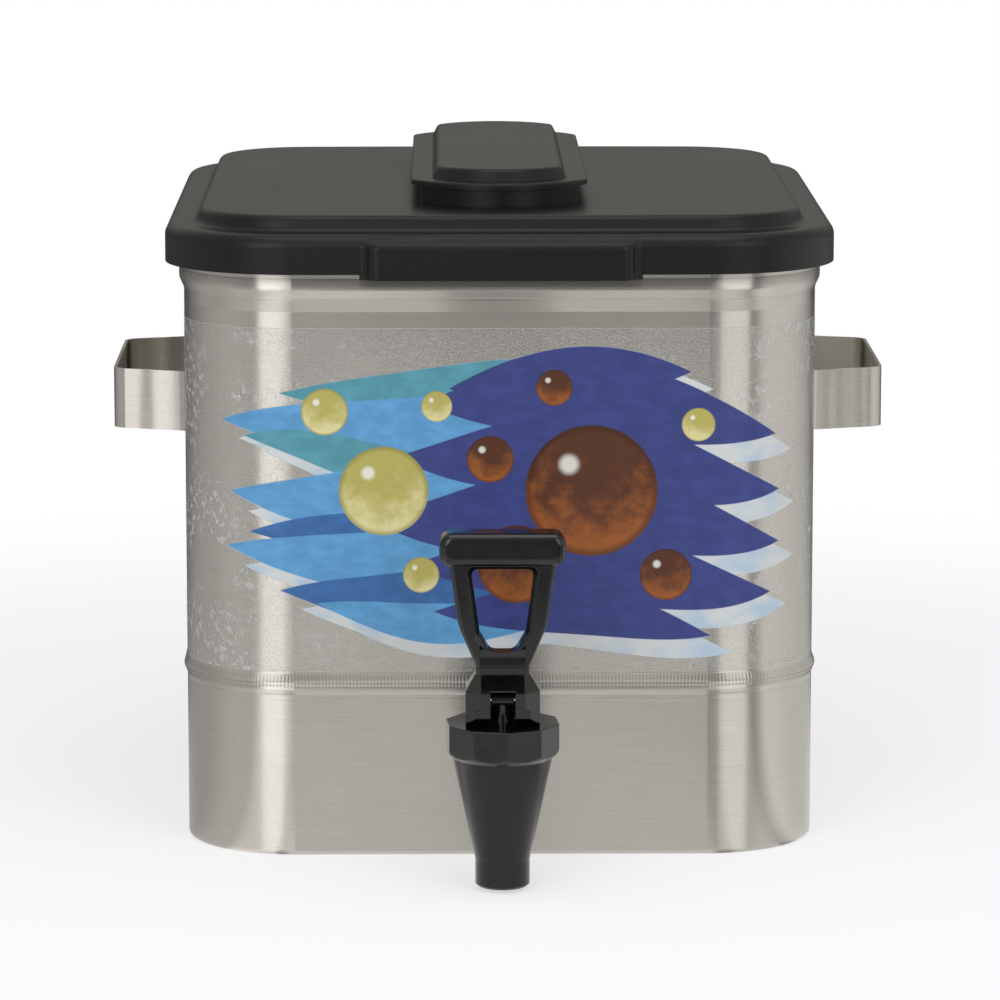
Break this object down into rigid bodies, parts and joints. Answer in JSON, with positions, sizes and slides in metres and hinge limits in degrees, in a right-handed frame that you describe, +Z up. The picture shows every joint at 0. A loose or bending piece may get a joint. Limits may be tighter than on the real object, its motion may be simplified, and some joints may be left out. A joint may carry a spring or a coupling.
{
  "type": "iced tea dispenser",
  "caption": "Rounded rectangular stainless drink dispenser with side handles, a lift-off black lid with a long fill cap, and a self-closing lever tap.",
  "frame": {"origin": "on the counter, under the middle of the vessel", "axes": "+X to the right seen from the tap side, +Y from the tap to the back, +Z up"},
  "size_m": [0.301, 0.3522, 0.2568],
  "materials": {
    "body_steel": "fine horizontal brushing",
    "handle_steel": "satin bent strap",
    "printed_film": "clear film with printed blue bands and amber rounds",
    "silicone": "translucent white silicone",
    "tap_plastic": "glossy black moulding",
    "spring_steel": "bright drawn wire",
    "lid_plastic": "finely grained black moulding"
  },
  "bodies": {
    "vessel": {"vessel_shell": "body_steel", "vessel_floor": "body_steel", "left_handle": "handle_steel", "right_handle": "handle_steel", "label_film": "printed_film", "outer_washer": "silicone", "inner_washer": "silicone", "shank_nut": "tap_plastic", "tap_body": "tap_plastic", "tap_bonnet": "tap_plastic", "seat_cup": "silicone", "tap_spring": "spring_steel"},
    "valve_stem": {"tap_stem": "tap_plastic"},
    "tap_lever": {"tap_handle": "tap_plastic", "handle_pin": "spring_steel"},
    "lid": {"lid": "lid_plastic"},
    "fill_cap": {"fill_cap": "lid_plastic"}
  },
  "joints": [
    {"name": "stem_lift", "type": "slide", "parent": "vessel", "child": "valve_stem", "axis": [0, 0, 1], "range_m": [0, 0.004], "deforming": ["tap_spring", "seat_cup"]},
    {"name": "handle_tilt", "type": "hinge", "parent": "valve_stem", "child": "tap_lever", "pos_m": [0, -0.188, 0.0713], "axis": [1, 0, 0], "range_deg": [0, 45], "stiffness_Nm_per_rad": 0.06, "springref_deg": -114.59},
    {"name": "lid_lift", "type": "slide", "parent": "vessel", "child": "lid", "axis": [0, 0, 1], "range_m": [0, 0.06]},
    {"name": "cap_lift", "type": "slide", "parent": "lid", "child": "fill_cap", "axis": [0, 0, 1], "range_m": [0, 0.04]}
  ],
  "couplings": [
    {"joint": "stem_lift", "follows": "handle_tilt", "m_per_rad": 0.005}
  ]
}
